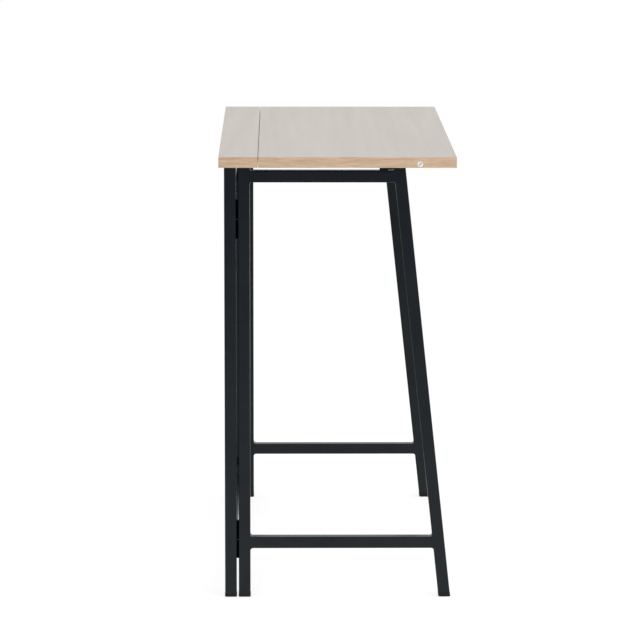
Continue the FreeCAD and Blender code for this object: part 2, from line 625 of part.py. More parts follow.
leaf_pins = []
for position, step in LEAF_HINGES:
    hinge_y = f"({step} * size.leaf_hinge_spacing)"
    slots = range(KNUCKLES_PER_LEAF_HINGE)
    hinge_plate(f"{position}_leaf_hinge_fixed_plate", hinge_y, -1, slots[0::2])
    hinge_plate(f"{position}_leaf_hinge_moving_plate", hinge_y, 1, slots[1::2])
    leaf_pins.append(rod(SEAM_X, f"{hinge_y} - size.plate_length / 2", SEAM_Z, "size.leaf_pin_radius",
                         "size.plate_length", ALONG_Y))
group("leaf_hinge_pins", leaf_pins)

for label, direction in (("strip_hinge_screws", -1), ("leaf_hinge_screws", 1)):
    screw_x = f"{SEAM_X} + {direction} * size.screw_reach"
    group(label, [
        countersunk_screw(screw_x, y, PLATE_LOW, "size.plate_thickness", "size.screw_bite")
        for y in HINGE_SCREWS
    ])

rail_screws = []
for y in RAIL_SCREWS:
    head = rod(LEG_X, y, f"{RAIL_BOTTOM} - size.rail_head_height", "size.rail_head_radius",
               "size.rail_head_height")
    shank = rod(LEG_X, y, RAIL_BOTTOM, "size.screw_radius", "size.tube_size + size.screw_bite")
    rail_screws.append(fuse([head, shank]))
group("strip_fixing_screws", rail_screws)


# The gate stops under the leaf, and the slotted plugs in the leaf's ends

STOP_LOW = f"({RAIL_TOP} + size.leaf_clearance)"
stop_screws = []
for end, side in ENDS:
    lip_face = f"({OUTER_Y} + size.leaf_clearance)"
    lip_outer = f"({lip_face} + size.stop_lip)"
    block_inner = f"({lip_face} - size.stop_depth)"
    block_y = f"-{lip_outer}" if side < 0 else block_inner
    lip_y = f"-{lip_outer}" if side < 0 else lip_face
    left = f"{STOP_X} - size.stop_width / 2"
    block = box(left, block_y, STOP_LOW, "size.stop_width", "size.stop_depth + size.stop_lip",
                f"{UNDERSIDE} - {STOP_LOW}")
    lip_low = f"({RAIL_TOP} - size.stop_lip_drop)"
    lip = box(left, lip_y, lip_low, "size.stop_width", "size.stop_lip", f"{UNDERSIDE} - {lip_low}")
    screw_y = f"{side} * {FRAME_Y}"
    sink = countersink(STOP_X, screw_y, STOP_LOW, "size.stop_head_depth")
    hole = rod(STOP_X, screw_y, STOP_LOW, PILOT, f"{UNDERSIDE} - {STOP_LOW}")
    node(cut(fuse([block, lip]), [sink, hole]), f"{end}_gate_stop")
    reach = f"{UNDERSIDE} - {STOP_LOW} - size.stop_head_depth + size.screw_bite"
    stop_screws.append(countersunk_screw(STOP_X, screw_y, STOP_LOW, "size.stop_head_depth", reach))

    outer = f"{side} * size.top_length / 2"
    low_y = outer if side < 0 else f"{outer} - size.dowel_depth"
    plug = rod(DOWEL_X, low_y, DOWEL_Z, "size.dowel_radius", "size.dowel_depth", ALONG_Y)
    face_y = number(outer)
    plug = rounded(plug, "size.dowel_round", lambda edge: all(
        abs(vertex.Y - face_y) < number("size.dowel_round") for vertex in edge.Vertexes))
    slot = box("0", "0", "0", "size.slot_length", "2 * size.slot_depth", "size.slot_width")
    slot.Placement.Rotation = FreeCAD.Rotation(FreeCAD.Vector(0, -1, 0), number("size.slot_angle"))
    slot.setExpression("Placement.Rotation.Angle", "size.slot_angle")
    along = "(size.slot_length / 2)"
    across = "(size.slot_width / 2)"
    slot_x = f"{DOWEL_X} - {along} * cos(size.slot_angle) + {across} * sin(size.slot_angle)"
    slot_z = f"{DOWEL_Z} - {along} * sin(size.slot_angle) - {across} * cos(size.slot_angle)"
    place(slot, slot_x, f"{outer} - size.slot_depth", slot_z)
    node(cut(plug, [slot]), f"{end}_leaf_dowel")
group("gate_stop_screws", stop_screws)


# Check the whole document, then write one file per piece

doc.recompute()
failed = [item.Label for item in doc.Objects if {"Invalid", "Error"} & set(item.State)]
if failed:
    raise RuntimeError(f"failed objects: {failed}")
for item in nodes:
    if item.Shape.isNull() or not item.Shape.isValid():
        raise RuntimeError(f"bad shape: {item.Label}")

os.makedirs("parts", exist_ok=True)
for item in nodes:
    item.Shape.exportStep(f"parts/{item.Label}.step")
print(f"wrote {len(nodes)} pieces")
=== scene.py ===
# %% [markdown]
# # A folding desk, dressed for its portrait
# The desk arrives as a finished construction: tubes, boards, hinges and screws at their real size.
# This lesson gives that construction its looks. It never moves a part; it sets up a camera and a studio,
# builds the finishes as node trees, and adds the small things that only show on the surface.

# %% Load the construction
import json
import math

import bmesh
import bpy
from mathutils import Euler, Matrix, Vector


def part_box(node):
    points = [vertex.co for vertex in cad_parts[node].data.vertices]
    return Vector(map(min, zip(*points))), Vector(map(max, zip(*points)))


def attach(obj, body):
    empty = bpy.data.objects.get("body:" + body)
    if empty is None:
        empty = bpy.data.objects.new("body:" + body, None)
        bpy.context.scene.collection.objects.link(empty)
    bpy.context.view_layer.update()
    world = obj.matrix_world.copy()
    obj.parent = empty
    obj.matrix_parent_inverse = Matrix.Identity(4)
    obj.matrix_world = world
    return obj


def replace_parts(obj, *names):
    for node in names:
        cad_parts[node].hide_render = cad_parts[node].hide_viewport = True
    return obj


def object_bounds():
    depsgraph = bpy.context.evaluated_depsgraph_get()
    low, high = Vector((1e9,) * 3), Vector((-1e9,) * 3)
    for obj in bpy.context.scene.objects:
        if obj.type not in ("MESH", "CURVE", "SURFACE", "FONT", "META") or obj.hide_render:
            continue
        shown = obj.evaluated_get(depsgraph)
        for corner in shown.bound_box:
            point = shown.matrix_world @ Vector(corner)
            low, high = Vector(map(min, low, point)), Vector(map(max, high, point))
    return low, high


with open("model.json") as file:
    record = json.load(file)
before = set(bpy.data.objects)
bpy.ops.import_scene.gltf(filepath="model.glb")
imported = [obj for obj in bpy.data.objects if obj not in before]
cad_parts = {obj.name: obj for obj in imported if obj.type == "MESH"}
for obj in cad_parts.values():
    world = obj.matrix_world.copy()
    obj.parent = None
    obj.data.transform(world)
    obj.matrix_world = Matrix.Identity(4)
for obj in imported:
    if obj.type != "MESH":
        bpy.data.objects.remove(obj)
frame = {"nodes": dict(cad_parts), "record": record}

cad_low, cad_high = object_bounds()
nodes = frame["nodes"]
scene = bpy.context.scene
scene.view_settings.view_transform = "Standard"
MM = 0.001
print("pieces", len(nodes), "box in mm", [round(side / MM, 1) for side in cad_high - cad_low])

# %% [markdown]
# ## Camera
# The picture looks along the desk from one of its short ends, with a long lens, so the two ends nearly
# line up. A camera could be aimed by eye, but here its place was worked out from measured edges: it
# stands almost six metres away, a little above the top, and looks slightly down and to the right.

# %% Camera
CAMERA_PLACE = Vector((-0.09935, -5.82424, 1.42227))
LOOK_DOWN = math.radians(9.8186)
LOOK_RIGHT = math.radians(0.7424)
CAMERA_ROLL = math.radians(0.1095)
LENS_MM = 183.36
SENSOR_MM = 36.0
FAR_CLIP = 100.0


def aim_camera():
    """Makes the camera and turns it: first the tilt and the turn, then the roll about its own view line."""
    lens = bpy.data.cameras.new("portrait_camera")
    lens.lens = LENS_MM
    lens.sensor_width = SENSOR_MM
    lens.clip_end = FAR_CLIP
    camera = bpy.data.objects.new("portrait_camera", lens)
    scene.collection.objects.link(camera)
    turned = Euler((math.pi / 2 - LOOK_DOWN, 0.0, -LOOK_RIGHT)).to_matrix()
    camera.location = CAMERA_PLACE
    camera.rotation_euler = (turned @ Matrix.Rotation(CAMERA_ROLL, 3, "Z")).to_euler()
    scene.camera = camera
    return camera


print("camera at", [round(value, 3) for value in aim_camera().location])

# %% [markdown]
# ## Small helpers for node trees
# Every finish below is a node tree. Two helpers keep the cells short: one adds a node with its settings
# and input values, the other starts a node group with named sockets. Links are made with `links.new`.

# %% Node helpers


def add_node(tree, kind, settings=None, values=None):
    """Adds a node, sets its properties, and fills the inputs that stay constant."""
    made = tree.nodes.new(kind)
    for name, value in (settings or {}).items():
        setattr(made, name, value)
    for name, value in (values or {}).items():
        made.inputs[name].default_value = value
    return made


def start_group(name, inputs, outputs):
    """A new shader node group; sockets are given as (name, socket type, default)."""
    tree = bpy.data.node_groups.new(name, "ShaderNodeTree")
    for label, kind, value in inputs:
        socket = tree.interface.new_socket(label, in_out="INPUT", socket_type=kind)
        if value is not None:
            socket.default_value = value
    for label, kind in outputs:
        tree.interface.new_socket(label, in_out="OUTPUT", socket_type=kind)
    return tree, tree.nodes.new("NodeGroupInput"), tree.nodes.new("NodeGroupOutput")


def remap(tree, source, low, high, from_low=0.0, from_high=1.0):
    """Turns a 0 to 1 value into a value between low and high."""
    values = {"From Min": from_low, "From Max": from_high, "To Min": low, "To Max": high}
    made = add_node(tree, "ShaderNodeMapRange", values=values)
    tree.links.new(source, made.inputs["Value"])
    return made.outputs["Result"]


def blend_colours(tree, share, first, second):
    """Mixes two colours; each may be a socket or a fixed colour."""
    made = add_node(tree, "ShaderNodeMix", {"data_type": "RGBA"})
    tree.links.new(share, made.inputs[0])
    for place, colour in ((6, first), (7, second)):
        if isinstance(colour, bpy.types.NodeSocket):
            tree.links.new(colour, made.inputs[place])
        else:
            made.inputs[place].default_value = (*colour, 1.0)
    return made.outputs[2]


print("helpers ready")

# %% [markdown]
# ## Studio
# The picture shows the desk on pure white. A brighter lamp would burn the pale top out, so the white comes
# from the rays instead: the world and the floor answer camera, mirror and glass rays with white, and every
# other ray with a plain studio level. The floor mixes that white with an ordinary matt surface, so the
# desk still leaves a faint shadow on it.

# %% World and floor
STUDIO_LEVEL = 0.72
FLOOR_WHITE = 0.86
FLOOR_GLOW = 1.25
FLOOR_GLOW_SHARE = 0.6
FLOOR_SIZE = 60.0
FLOOR_DROP = 0.0001


def seen_directly(tree):
    """1 for rays that show the background itself: camera, mirror and glass rays."""
    path = add_node(tree, "ShaderNodeLightPath")
    mirror = add_node(tree, "ShaderNodeMath", {"operation": "MAXIMUM"})
    tree.links.new(path.outputs["Is Camera Ray"], mirror.inputs[0])
    tree.links.new(path.outputs["Is Glossy Ray"], mirror.inputs[1])
    glass = add_node(tree, "ShaderNodeMath", {"operation": "MAXIMUM"})
    tree.links.new(mirror.outputs[0], glass.inputs[0])
    tree.links.new(path.outputs["Is Transmission Ray"], glass.inputs[1])
    return glass.outputs[0]


def light_world():
    """White to the eye, a plain level of light to everything else."""
    world = bpy.data.worlds.new("white_studio")
    world.use_nodes = True
    tree = world.node_tree
    level = remap(tree, seen_directly(tree), STUDIO_LEVEL, 1.0)
    tree.links.new(level, tree.nodes["Background"].inputs["Strength"])
    tree.nodes["Background"].inputs["Color"].default_value = (1.0, 1.0, 1.0, 1.0)
    scene.world = world


def lay_floor():
    """A wide pale floor that keeps the shadow."""
    bm = bmesh.new()
    bmesh.ops.create_grid(bm, x_segments=1, y_segments=1, size=FLOOR_SIZE / 2)
    bmesh.ops.translate(bm, verts=bm.verts, vec=(0.0, 0.0, -FLOOR_DROP))
    mesh = bpy.data.meshes.new("studio_floor")
    bm.to_mesh(mesh)
    bm.free()
    floor = bpy.data.objects.new("studio_floor", mesh)
    scene.collection.objects.link(floor)
    finish = bpy.data.materials.new("pale_floor")
    finish.use_nodes = True
    tree = finish.node_tree
    tree.nodes.remove(tree.nodes["Principled BSDF"])
    matt = add_node(tree, "ShaderNodeBsdfDiffuse", values={"Color": (FLOOR_WHITE,) * 3 + (1.0,)})
    glow = add_node(tree, "ShaderNodeEmission", values={"Strength": FLOOR_GLOW})
    mixed = add_node(tree, "ShaderNodeMixShader")
    tree.links.new(remap(tree, seen_directly(tree), 0.0, FLOOR_GLOW_SHARE), mixed.inputs[0])
    tree.links.new(matt.outputs[0], mixed.inputs[1])
    tree.links.new(glow.outputs[0], mixed.inputs[2])
    tree.links.new(mixed.outputs[0], tree.nodes["Material Output"].inputs["Surface"])
    mesh.materials.append(finish)


light_world()
lay_floor()
print("studio level", STUDIO_LEVEL)

# %% [markdown]
# ## Lamps
# Soft light can come from one huge lamp or from several large ones. Five are used here: one overhead for
# the top, one from the front for the edge that faces the camera, and three on the right. The last two of
# those stand low and further back, where the rounded corners of the tubes mirror them as thin bright
# rims. Only these two can be mirrored: from behind, at a low angle, the satin top would throw the others
# back as a white glare. All are hidden from the camera, so that no view shows one as a white square.

# %% Lamps
# Name, place, target, width, height, watts, and whether glossy surfaces mirror it.
LAMPS = (
    ("overhead_softbox", (0.3, -0.3, 3.2), (0.0, 0.0, 0.7), 2.6, 2.6, 16.0, False),
    ("front_softbox", (-1.8, -4.6, 2.2), (0.0, -0.2, 0.5), 2.2, 2.2, 16.0, False),
    ("right_softbox", (2.6, -2.2, 0.95), (0.0, -0.2, 0.4), 1.6, 1.8, 42.0, False),
    ("rim_softbox", (2.6, 1.6, 0.6), (0.0, -0.2, 0.4), 1.8, 1.1, 11.0, True),
    ("low_rim_softbox", (1.15, 0.6, 0.24), (0.0, -0.2, 0.3), 0.9, 0.44, 3.6, True),
)


def hang_lamp(name, place, target, width, height, watts, mirrored):
    """A rectangular soft lamp that points at a target."""
    lamp = bpy.data.lights.new(name, "AREA")
    lamp.shape = "RECTANGLE"
    lamp.size = width
    lamp.size_y = height
    lamp.energy = watts
    holder = bpy.data.objects.new(name, lamp)
    scene.collection.objects.link(holder)
    holder.location = place
    holder.rotation_euler = (Vector(target) - Vector(place)).to_track_quat("-Z", "Y").to_euler()
    holder.visible_camera = False
    holder.visible_glossy = mirrored


for lamp_row in LAMPS:
    hang_lamp(*lamp_row)
print("lamps", [row[0] for row in LAMPS])

# %% [markdown]
# ## A dark card
# On a white floor every glossy edge gets a white line, on both of its sides; here they are kept only on the
# right. The others are taken away with painted shade: a dark card, laid where those edges mirror the floor,
# stands for the shade there. Only mirror rays meet the card: it is out of the picture, casts no shadow and
# takes no light.

# %% Dark card
CARD_GREY = 0.05
CARD_WIDTH = 2.4
CARD_LENGTH = 4.0
CARD_PLACE = Vector((-1.1, 2.4, 0.002))


def lay_card():
    """A dark sheet on the floor, behind the desk and to its left: painted shade for mirror rays."""
    bm = bmesh.new()
    bmesh.ops.create_grid(bm, x_segments=1, y_segments=1, size=0.5)
    bmesh.ops.scale(bm, vec=(CARD_WIDTH, CARD_LENGTH, 1.0), verts=bm.verts)
    bmesh.ops.translate(bm, vec=CARD_PLACE, verts=bm.verts)
    mesh = bpy.data.meshes.new("painted_shade_card")
    bm.to_mesh(mesh)
    bm.free()
    card = bpy.data.objects.new("painted_shade_card", mesh)
    scene.collection.objects.link(card)
    finish = bpy.data.materials.new("painted_shade_card")
    finish.use_nodes = True
    finish.node_tree.nodes["Principled BSDF"].inputs["Base Color"].default_value = (CARD_GREY,) * 3 + (1.0,)
    mesh.materials.append(finish)
    card.visible_camera = False
    card.visible_diffuse = False
    card.visible_shadow = False


lay_card()
print("card in m", CARD_WIDTH, "by", CARD_LENGTH)

# %% [markdown]
# ## Grain, as a node group
# Oak shows three things at once: slow streaks of lighter and darker wood, the arched rings of a plain-sawn
# board, and fine dark pores. All three are noise that is squeezed across the grain and stretched along it.
# The rings are the level lines of one such slow noise, like heights on a map, which gives the arches
# without drawing any of them. The group reads coordinates whose Y runs along the grain.

# %% Oak grain group
# Squeeze across the grain and along it, per metre.
STREAKS = (130.0, 2.6)
SLOW_RINGS = (13.0, 0.5)
WOBBLES = (60.0, 3.0)
PORES = (1300.0, 42.0)
WOBBLE_SHARE = 0.3
HALF_RING = 0.5
PORE_CUT = (0.57, 0.74)
NOISE_SPAN = (0.3, 0.7)


def stretched(tree, vector, across, along):
    """Coordinates per metre, squeezed across the grain and stretched along Y."""
    made = add_node(tree, "ShaderNodeVectorMath", {"operation": "MULTIPLY"})
    made.inputs[1].default_value = (across, along, across)
    tree.links.new(vector, made.inputs[0])
    return made.outputs[0]


def noise(tree, vector, detail=2.0, roughness=0.5, distortion=0.0):
    """Noise at the scale that its coordinates already have."""
    values = {"Scale": 1.0, "Detail": detail, "Roughness": roughness, "Distortion": distortion}
    made = add_node(tree, "ShaderNodeTexNoise", values=values)
    tree.links.new(vector, made.inputs["Vector"])
    return made.outputs["Fac"]


def math_node(tree, operation, first, second):
    """One arithmetic step on two values; each may be a socket or a number."""
    made = add_node(tree, "ShaderNodeMath", {"operation": operation})
    for place, value in enumerate((first, second)):
        if isinstance(value, bpy.types.NodeSocket):
            tree.links.new(value, made.inputs[place])
        else:
            made.inputs[place].default_value = value
    return made.outputs[0]


def oak_grain_group():
    """Streaks, rings and pores of oak, each from 0 to 1, and a height for the pores."""
    inputs = (("Vector", "NodeSocketVector", None), ("Rings", "NodeSocketFloat", 9.0),
              ("Streak Width", "NodeSocketFloat", 1.0), ("Streak Length", "NodeSocketFloat", 1.0))
    outputs = (("Streak", "NodeSocketFloat"), ("Ring", "NodeSocketFloat"), ("Pore", "NodeSocketFloat"),
               ("Height", "NodeSocketFloat"))
    tree, given, result = start_group("oak_grain", inputs, outputs)
    vector = given.outputs["Vector"]
    shape = add_node(tree, "ShaderNodeCombineXYZ")
    for axis, label in (("X", "Streak Width"), ("Y", "Streak Length"), ("Z", "Streak Width")):
        tree.links.new(given.outputs[label], shape.inputs[axis])
    shaped = add_node(tree, "ShaderNodeVectorMath", {"operation": "DIVIDE"})
    tree.links.new(vector, shaped.inputs[0])
    tree.links.new(shape.outputs[0], shaped.inputs[1])
    streak = noise(tree, stretched(tree, shaped.outputs[0], *STREAKS), detail=4.0, roughness=0.62)
    slow = noise(tree, stretched(tree, vector, *SLOW_RINGS), detail=1.5, roughness=0.4)
    wobble = noise(tree, stretched(tree, vector, *WOBBLES), detail=2.0)
    height_map = math_node(tree, "ADD", math_node(tree, "MULTIPLY", slow, given.outputs["Rings"]),
                           math_node(tree, "MULTIPLY", wobble, WOBBLE_SHARE))
    ring = math_node(tree, "PINGPONG", height_map, HALF_RING)
    dashes = noise(tree, stretched(tree, vector, *PORES), detail=1.0)
    pore = remap(tree, dashes, 0.0, 1.0, *PORE_CUT)
    tree.links.new(remap(tree, streak, 0.0, 1.0, *NOISE_SPAN), result.inputs["Streak"])
    tree.links.new(remap(tree, ring, 0.0, 1.0, 0.0, HALF_RING), result.inputs["Ring"])
    tree.links.new(pore, result.inputs["Pore"])
    tree.links.new(math_node(tree, "SUBTRACT", 1.0, pore), result.inputs["Height"])
    return tree


OAK_GRAIN = oak_grain_group()
print("group", OAK_GRAIN.name, [item.name for item in OAK_GRAIN.interface.items_tree])

# %% [markdown]
# ## Unevenness, as a node group
# Paint, plastic and plated steel are even to the eye and still never flat: paint dries with a fine
# orange peel, moulds leave a grain, and handling changes the gloss from place to place. One group gives a
# broad value, a fine value and a height, and each finish below uses it at its own scale.

# %% Unevenness group


def unevenness_group():
    """Broad and fine variation from 0 to 1, and a fine height."""
    inputs = (("Vector", "NodeSocketVector", None), ("Fine Scale", "NodeSocketFloat", 900.0),
              ("Broad Scale", "NodeSocketFloat", 9.0))
    outputs = (("Broad", "NodeSocketFloat"), ("Fine", "NodeSocketFloat"), ("Height", "NodeSocketFloat"))
    tree, given, result = start_group("unevenness", inputs, outputs)
    scaled = {}
    for label, detail in (("Fine", 3.0), ("Broad", 4.0)):
        grown = add_node(tree, "ShaderNodeVectorMath", {"operation": "SCALE"})
        tree.links.new(given.outputs["Vector"], grown.inputs[0])
        tree.links.new(given.outputs[f"{label} Scale"], grown.inputs["Scale"])
        scaled[label] = noise(tree, grown.outputs[0], detail=detail, roughness=0.55)
    tree.links.new(remap(tree, scaled["Broad"], 0.0, 1.0, *NOISE_SPAN), result.inputs["Broad"])
    tree.links.new(remap(tree, scaled["Fine"], 0.0, 1.0, *NOISE_SPAN), result.inputs["Fine"])
    tree.links.new(scaled["Fine"], result.inputs["Height"])
    return tree


UNEVENNESS = unevenness_group()
print("group", UNEVENNESS.name)

# %% [markdown]
# ## Starting a finish
# Every finish is a Principled shader with object coordinates. The parts sit at the origin with their place
# in their mesh, so object coordinates are metres in the desk's own frame, and a pattern runs on from one
# part to the next as it does on a real board. Finished materials are collected under the names of the
# record's material slots.

# %% Finish helpers
FINISHES = {}


def start_finish(name, constants):
    """A material with its Principled shader's constant sockets set; returns the parts to wire up."""
    finish = bpy.data.materials.new(name)
    finish.use_nodes = True
    tree = finish.node_tree
    shader = tree.nodes["Principled BSDF"]
    for label, value in constants.items():
        shader.inputs[label].default_value = value
    place = add_node(tree, "ShaderNodeTexCoord").outputs["Object"]
    return finish, tree, shader, place


def use_group(tree, group, vector, values=None):
    """Places a node group in a material and feeds it coordinates."""
    made = add_node(tree, "ShaderNodeGroup", {"node_tree": group}, values)
    tree.links.new(vector, made.inputs["Vector"])
    return made.outputs


def along(tree, place, axis):
    """One axis of the coordinates, in metres."""
    split = add_node(tree, "ShaderNodeSeparateXYZ")
    tree.links.new(place, split.inputs[0])
    return split.outputs[axis]


def raise_surface(tree, shader, height, depth, strength):
    """Bumps the shader's normal with a height; depth is in metres."""
    bump = add_node(tree, "ShaderNodeBump", values={"Strength": strength, "Distance": depth})
    tree.links.new(height, bump.inputs["Height"])
    tree.links.new(bump.outputs["Normal"], shader.inputs["Normal"])


print("finish helpers ready")

# %% [markdown]
# ## Oak laminate
# The top is a printed oak laminate: pale, greyish and almost even, with the grain along the desk. Seen at
# a low angle it mirrors the white studio, which is why it looks paler than its edge band. So the colour
# is a warm beige and the satin gloss does the rest.

# %% Oak laminate
LAMINATE_PALE = (0.505, 0.467, 0.409)
LAMINATE_DARK = (0.473, 0.434, 0.379)
LAMINATE_PORE = (0.400, 0.360, 0.300)
LAMINATE_GRAIN = {"Rings": 5.0, "Streak Width": 1.8}
LAMINATE_STREAKS = 0.55
LAMINATE_PORES = 0.4
LAMINATE_GLOSS = 0.5
LAMINATE_ROUGH = (0.40, 0.34)
LAMINATE_BUMP = (0.04 * MM, 0.25)


def wood_figure(tree, grain, streaks):
    """Streaks and rings of the grain mixed into one value, the streaks with the given share."""
    return math_node(tree, "ADD", math_node(tree, "MULTIPLY", grain["Streak"], streaks),
                     math_node(tree, "MULTIPLY", grain["Ring"], 1.0 - streaks))


def oak_laminate():
    """Pale printed oak with a satin gloss, grain along Y."""
    finish, tree, shader, place = start_finish("oak_laminate", {"Specular IOR Level": LAMINATE_GLOSS})
    grain = use_group(tree, OAK_GRAIN, place, LAMINATE_GRAIN)
    figure = wood_figure(tree, grain, LAMINATE_STREAKS)
    wood = blend_colours(tree, figure, LAMINATE_DARK, LAMINATE_PALE)
    pores = math_node(tree, "MULTIPLY", grain["Pore"], LAMINATE_PORES)
    tree.links.new(blend_colours(tree, pores, wood, LAMINATE_PORE), shader.inputs["Base Color"])
    tree.links.new(remap(tree, figure, *LAMINATE_ROUGH), shader.inputs["Roughness"])
    raise_surface(tree, shader, grain["Height"], *LAMINATE_BUMP)
    return finish


FINISHES["oak_laminate"] = oak_laminate()
print("laminate nodes", len(FINISHES["oak_laminate"].node_tree.nodes))

# %% [markdown]
# ## Oak edge band
# The band round the boards is a thin tan strip with shorter and livelier lines than the top. Its grain
# runs along the edge, so the bands across the ends need the pattern turned by a quarter. A Mapping node
# turns it. The laminate runs over the upper edge of the band, so the last third of a millimetre takes the
# laminate's colour. Inside the narrow seam the same strip gets painted shade, darker and greyer. One
# function makes all of them.

# %% Oak edge band
# Colours of pale wood, dark wood and pores.
BAND_TAN = ((0.645, 0.470, 0.325), (0.415, 0.296, 0.189), (0.290, 0.184, 0.106))
# Painted shade: the colours of the strip inside the narrow seam, darker and greyer.
BAND_SEAM_SHADE = ((0.545, 0.405, 0.285), (0.405, 0.298, 0.205), (0.310, 0.214, 0.138))
BAND_GRAIN = {"Rings": 12.0, "Streak Width": 0.3, "Streak Length": 0.1}
BAND_STREAKS = 0.85
BAND_PORES = 0.5
BAND_GLOSS = 0.4
BAND_ROUGH = (0.52, 0.42)
BAND_BUMP = (0.05 * MM, 0.3)
LAMINATE_EDGE = tuple((pale + dark) / 2 for pale, dark in zip(LAMINATE_PALE, LAMINATE_DARK))
EDGE_FROM = cad_high.z - 0.3 * MM
EDGE_FULL = cad_high.z - 0.1 * MM


def oak_edge_band(name, turn, colours):
    """Oak strip in three colours; turn brings the pattern's length onto Y."""
    pale, dark, pore = colours
    finish, tree, shader, place = start_finish(name, {"Specular IOR Level": BAND_GLOSS})
    turned = add_node(tree, "ShaderNodeMapping", values={"Rotation": (0.0, 0.0, turn)})
    tree.links.new(place, turned.inputs["Vector"])
    grain = use_group(tree, OAK_GRAIN, turned.outputs["Vector"], BAND_GRAIN)
    figure = wood_figure(tree, grain, BAND_STREAKS)
    pores = math_node(tree, "MULTIPLY", grain["Pore"], BAND_PORES)
    strip = blend_colours(tree, pores, blend_colours(tree, figure, dark, pale), pore)
    upper_edge = remap(tree, along(tree, place, "Z"), 0.0, 1.0, EDGE_FROM, EDGE_FULL)
    tree.links.new(blend_colours(tree, upper_edge, strip, LAMINATE_EDGE), shader.inputs["Base Color"])
    tree.links.new(remap(tree, grain["Streak"], *BAND_ROUGH), shader.inputs["Roughness"])
    raise_surface(tree, shader, grain["Height"], *BAND_BUMP)
    return finish


FINISHES["oak_edge_band"] = oak_edge_band("oak_edge_band", 0.0, BAND_TAN)
END_BAND = oak_edge_band("oak_end_band", math.pi / 2, BAND_TAN)
# The seam's band takes the painted shade colours.
SEAM_BAND = oak_edge_band("oak_seam_band", 0.0, BAND_SEAM_SHADE)
print("bands", FINISHES["oak_edge_band"].name, END_BAND.name, SEAM_BAND.name)

# %% [markdown]
# ## Black powder coat
# The tubes are powder-coated in a black that leans slightly to blue-green. Powder melts into a hard,
# faintly rippled skin, so it needs a fine height and a gloss that varies a little, not a darker colour.
# The colour follows the height: low down it is painted greyer, as light from the floor would lift it.

# %% Black powder coat
# Colours high up and low down; the lower one is painted light from the floor.
COAT_HIGH_UP = (0.0008, 0.0032, 0.0066)
COAT_FLOOR_LIT = (0.0126, 0.0163, 0.0182)
COAT_SCALES = {"Fine Scale": 700.0, "Broad Scale": 14.0}
COAT_GLOSS = 0.145
COAT_ROUGH = (0.25, 0.32)
COAT_BUMP = (0.03 * MM, 0.35)
FLOOR_LIGHT_SPREAD = 0.16


def black_powder_coat():
    """Semi-gloss black with a fine orange peel, painted lighter low down as light from the floor."""
    finish, tree, shader, place = start_finish("black_powder_coat", {"Specular IOR Level": COAT_GLOSS})
    uneven = use_group(tree, UNEVENNESS, place, COAT_SCALES)
    # Painted light: lighter towards the floor, as light from the floor would lift it, in random patches.
    low_down = remap(tree, along(tree, place, "Z"), 1.0, 0.0, cad_low.z, cad_high.z)
    patchy = remap(tree, uneven["Broad"], -FLOOR_LIGHT_SPREAD, FLOOR_LIGHT_SPREAD)
    painted_floor_light = math_node(tree, "ADD", low_down, patchy)
    tree.links.new(blend_colours(tree, painted_floor_light, COAT_HIGH_UP, COAT_FLOOR_LIT), shader.inputs["Base Color"])
    tree.links.new(remap(tree, uneven["Fine"], *COAT_ROUGH), shader.inputs["Roughness"])
    raise_surface(tree, shader, uneven["Height"], *COAT_BUMP)
    return finish


FINISHES["black_powder_coat"] = black_powder_coat()
print("coat nodes", len(FINISHES["black_powder_coat"].node_tree.nodes))

# %% [markdown]
# ## Hinge steel and black plastic
# The gate hinges are painted a flatter, deeper black than the tubes, and the foot caps, plugs and stops are
# moulded plastic. The foot caps get painted light from the floor, which makes theirs a greyer black. All
# three reuse the unevenness group, at other scales and with other gloss, and differ in a few values only.

# %% Hinge steel and plastic
BLACK_PATCHES = 30.0
BLACK_BUMP = 0.4
HINGE_STEEL = {"dark": (0.0006, 0.0007, 0.0009), "light": (0.0018, 0.0020, 0.0023), "gloss": 0.06,
               "rough": (0.48, 0.62), "fine_scale": 1100.0, "depth": 0.03 * MM}
PLASTIC = {"dark": (0.0022, 0.0026, 0.0030), "light": (0.0052, 0.0058, 0.0062), "gloss": 0.08,
           "rough": (0.42, 0.55), "fine_scale": 1600.0, "depth": 0.04 * MM}
# Painted light: the foot caps are a greyer black, as light from the floor would lift them.
FOOT_FLOOR_LIGHT = {"dark": (0.0118, 0.0150, 0.0170), "light": (0.0160, 0.0195, 0.0215), "gloss": 0.10}


def plain_black(name, dark, light, gloss, rough, fine_scale, depth):
    """A dark finish: two close colours, a mirror level, a range of roughness and a grain."""
    finish, tree, shader, place = start_finish(name, {"Specular IOR Level": gloss})
    uneven = use_group(tree, UNEVENNESS, place, {"Fine Scale": fine_scale, "Broad Scale": BLACK_PATCHES})
    tree.links.new(blend_colours(tree, uneven["Broad"], dark, light), shader.inputs["Base Color"])
    tree.links.new(remap(tree, uneven["Fine"], *rough), shader.inputs["Roughness"])
    raise_surface(tree, shader, uneven["Height"], depth, BLACK_BUMP)
    return finish


FINISHES["black_hinge_steel"] = plain_black("black_hinge_steel", **HINGE_STEEL)
FINISHES["black_plastic"] = plain_black("black_plastic", **PLASTIC)
FLOOR_LIT_FOOT = plain_black("floor_lit_plastic", **{**PLASTIC, **FOOT_FLOOR_LIGHT})
print("blacks", "black_hinge_steel", "black_plastic", FLOOR_LIT_FOOT.name)

# %% [markdown]
# ## Bare metals
# The leaf hinges and screws are zinc plated, the hinge washers are plain oiled steel, and the slotted plug
# is bright nickel. A metal is a full Metallic value with a tinted base colour; what tells them apart is the
# tint and how the roughness wanders. The plug's slot lies deeper than its face, and the shade in it is
# painted: its colour darkens with the distance from the end of the desk.

# %% Bare metals
METAL_PATCHES = 160.0
METAL_BUMP = (0.02 * MM, 0.2)
